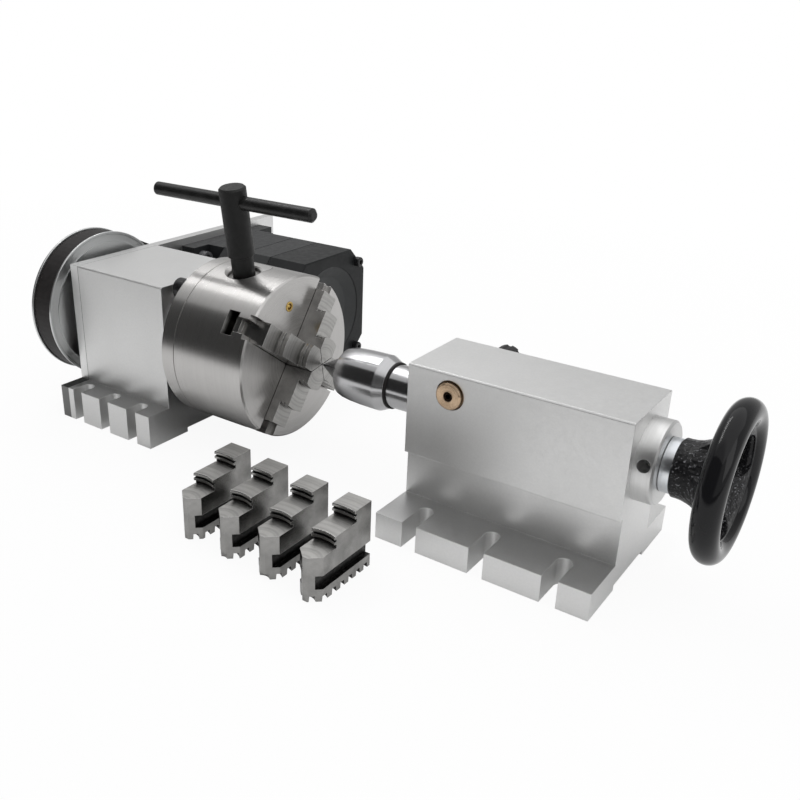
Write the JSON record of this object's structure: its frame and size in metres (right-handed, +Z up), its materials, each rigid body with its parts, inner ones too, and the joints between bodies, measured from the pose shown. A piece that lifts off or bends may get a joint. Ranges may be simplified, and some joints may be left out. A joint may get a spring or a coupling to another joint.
{
  "type": "belt driven rotary axis with scroll chuck and tailstock",
  "caption": "Belt driven rotary axis for milling: square headstock with scroll chuck and key, matching tailstock with live centre and handwheel, and spare jaws.",
  "frame": {"origin": "on the table plane, under the spindle axis, at the middle of the headstock foot's clamping slots", "axes": "+X along the spindle axis towards the tailstock, +Y to the back where the motor is, +Z up from the table"},
  "size_m": [0.459, 0.2801, 0.1662],
  "materials": {
    "ground_aluminium": "face milled, satin",
    "turned_aluminium": "turned, satin",
    "black_oxide_steel": "black oxide, satin",
    "bearing_steel": "ground and polished",
    "machined_steel": "turned and ground",
    "black_paint": "black enamel",
    "laminated_steel": "black lacquer over laminations",
    "belt_rubber": "matt",
    "bronze": "turned bronze",
    "brass": "polished",
    "zinc_plated_steel": "zinc plated, turned",
    "black_plastic": "moulded, fine texture"
  },
  "bodies": {
    "headstock": {"headstock_block": "ground_aluminium", "motor_plate": "ground_aluminium", "plate_screws": "black_oxide_steel", "spindle_bearing_outers": "bearing_steel", "spindle_bearing_balls": "bearing_steel", "bearing_cover": "ground_aluminium", "cover_screws": "black_oxide_steel", "motor_flange": "black_paint", "motor_stator": "laminated_steel", "motor_rear_cap": "black_paint", "motor_tie_screws": "black_oxide_steel", "motor_mount_screws": "black_oxide_steel", "motor_bearings": "bearing_steel", "timing_belt": "belt_rubber", "spare_jaw_1": "machined_steel", "spare_jaw_2": "machined_steel", "spare_jaw_3": "machined_steel", "spare_jaw_4": "machined_steel"},
    "motor_rotor": {"motor_shaft": "machined_steel", "motor_core": "laminated_steel", "motor_pulley": "machined_steel"},
    "spindle": {"spindle_shaft": "machined_steel", "spindle_bearing_inners": "bearing_steel", "large_pulley": "turned_aluminium", "pulley_flanges": "turned_aluminium", "spindle_nut": "black_oxide_steel", "chuck_backplate": "machined_steel", "backplate_screws": "black_oxide_steel", "chuck_body": "machined_steel", "chuck_bolts": "black_oxide_steel", "scroll_cover": "machined_steel", "face_oiler": "brass"},
    "scroll_plate": {"scroll": "machined_steel"},
    "driven_pinion": {"key_pinion": "machined_steel"},
    "free_pinion": {"idle_pinion": "machined_steel"},
    "chuck_key": {"key_hub": "black_oxide_steel", "key_bar": "black_oxide_steel"},
    "chuck_jaw_1": {"jaw_1": "machined_steel"},
    "chuck_jaw_2": {"jaw_2": "machined_steel"},
    "chuck_jaw_3": {"jaw_3": "machined_steel"},
    "chuck_jaw_4": {"jaw_4": "machined_steel"},
    "tailstock": {"tailstock_block": "ground_aluminium", "end_collar": "ground_aluminium", "thrust_washers": "bronze", "lock_cotters": "bronze", "quill_key": "black_oxide_steel"},
    "quill_lock": {"lock_stud": "machined_steel", "lock_knob": "black_plastic"},
    "quill_sleeve": {"quill": "machined_steel", "quill_nut": "bronze", "centre_shank": "machined_steel", "centre_bearing_inners": "bearing_steel"},
    "live_centre": {"centre_head": "zinc_plated_steel", "centre_bearing_outers": "bearing_steel", "centre_seal": "belt_rubber"},
    "feed_wheel": {"lead_screw": "machined_steel", "screw_sleeve": "zinc_plated_steel", "handwheel": "black_paint", "wheel_nut": "zinc_plated_steel"}
  },
  "joints": [
    {"name": "spindle_turn", "type": "hinge", "parent": "headstock", "child": "spindle", "pos_m": [0, 0, 0.065], "axis": [1, 0, 0], "range_deg": [-75, 90]},
    {"name": "motor_turn", "type": "hinge", "parent": "headstock", "child": "motor_rotor", "pos_m": [0, 0.102, 0.054], "axis": [1, 0, 0], "range_deg": [-300, 360]},
    {"name": "scroll_turn", "type": "hinge", "parent": "spindle", "child": "scroll_plate", "pos_m": [0, 0, 0.065], "axis": [1, 0, 0], "range_deg": [-1170, 0]},
    {"name": "key_pinion_turn", "type": "hinge", "parent": "spindle", "child": "driven_pinion", "pos_m": [0.085, 0, 0.065], "axis": [0, -0.153, 0.9882], "range_deg": [0, 4680]},
    {"name": "free_pinion_turn", "type": "hinge", "parent": "spindle", "child": "free_pinion", "pos_m": [0.085, 0, 0.065], "axis": [0, 0.153, -0.9882], "range_deg": [0, 4680]},
    {"name": "key_lift", "type": "slide", "parent": "driven_pinion", "child": "chuck_key", "axis": [0, -0.153, 0.9882], "range_m": [0, 0.06]},
    {"name": "jaw_1_slide", "type": "slide", "parent": "spindle", "child": "chuck_jaw_1", "axis": [0, -0.807, 0.5906], "range_m": [0, 0.0163]},
    {"name": "jaw_2_slide", "type": "slide", "parent": "spindle", "child": "chuck_jaw_2", "axis": [0, -0.5906, -0.807], "range_m": [0, 0.0163]},
    {"name": "jaw_3_slide", "type": "slide", "parent": "spindle", "child": "chuck_jaw_3", "axis": [0, 0.807, -0.5906], "range_m": [0, 0.0163]},
    {"name": "jaw_4_slide", "type": "slide", "parent": "spindle", "child": "chuck_jaw_4", "axis": [0, 0.5906, 0.807], "range_m": [0, 0.0163]},
    {"name": "tailstock_slide", "type": "slide", "parent": "headstock", "child": "tailstock", "axis": [1, 0, 0], "range_m": [0, 0.2]},
    {"name": "handwheel_turn", "type": "hinge", "parent": "tailstock", "child": "feed_wheel", "pos_m": [0, 0, 0.065], "axis": [1, 0, 0], "range_deg": [0, 1800]},
    {"name": "quill_slide", "type": "slide", "parent": "tailstock", "child": "quill_sleeve", "axis": [1, 0, 0], "range_m": [0, 0.0202]},
    {"name": "centre_turn", "type": "hinge", "parent": "quill_sleeve", "child": "live_centre", "pos_m": [0, 0, 0.065], "axis": [1, 0, 0], "continuous": true},
    {"name": "quill_lock_turn", "type": "hinge", "parent": "tailstock", "child": "quill_lock", "pos_m": [0.2392, 0, 0.0804], "axis": [0, 1, 0], "range_deg": [0, 90]}
  ],
  "couplings": [
    {"joint": "motor_turn", "follows": "spindle_turn", "ratio": 4},
    {"joint": "key_pinion_turn", "follows": "scroll_turn", "ratio": -4},
    {"joint": "free_pinion_turn", "follows": "scroll_turn", "ratio": -4},
    {"joint": "jaw_1_slide", "follows": "scroll_turn", "m_per_rad": -0.00079577},
    {"joint": "jaw_2_slide", "follows": "scroll_turn", "m_per_rad": -0.00079577},
    {"joint": "jaw_3_slide", "follows": "scroll_turn", "m_per_rad": -0.00079577},
    {"joint": "jaw_4_slide", "follows": "scroll_turn", "m_per_rad": -0.00079577},
    {"joint": "quill_slide", "follows": "handwheel_turn", "m_per_rad": 0.00063662}
  ]
}
